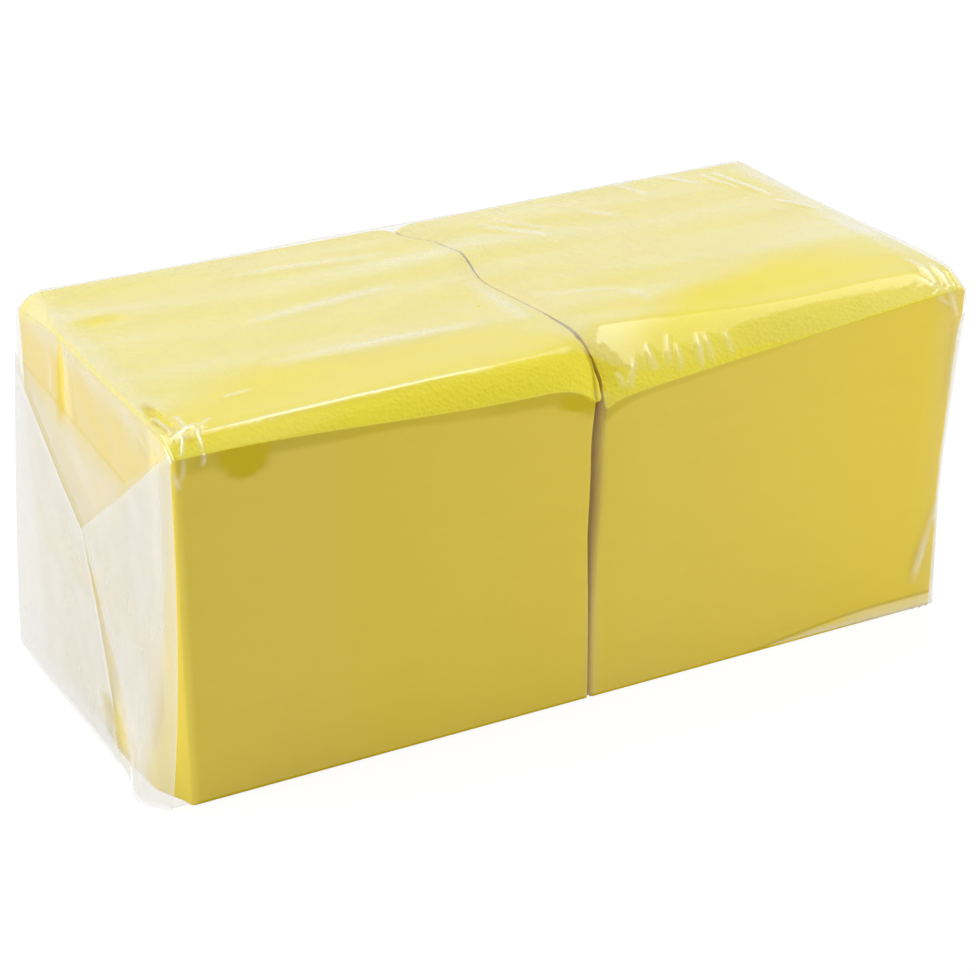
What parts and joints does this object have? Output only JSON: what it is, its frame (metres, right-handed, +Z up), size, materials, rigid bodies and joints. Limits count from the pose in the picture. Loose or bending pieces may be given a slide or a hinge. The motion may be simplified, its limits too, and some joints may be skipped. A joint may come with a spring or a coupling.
{
  "type": "stack of paper napkins",
  "caption": "Two square stacks of folded yellow paper napkins, side by side, wrapped tightly in clear plastic film with envelope-folded ends.",
  "frame": {"origin": "middle of the pack's footprint, on the surface that the pack lies on", "axes": "+X along the pack, from the left stack to the right one; the long front faces -Y; +Z up"},
  "size_m": [0.2523, 0.118, 0.1082],
  "materials": {
    "clear_film": "thin clear polypropylene film, glossy, with soft wrinkles",
    "yellow_tissue": "soft matt dyed tissue with a fine dotted embossed edge"
  },
  "bodies": {
    "root": {"film_wrap": "clear_film", "left_napkins": "yellow_tissue", "right_napkins": "yellow_tissue"}
  },
  "joints": []
}
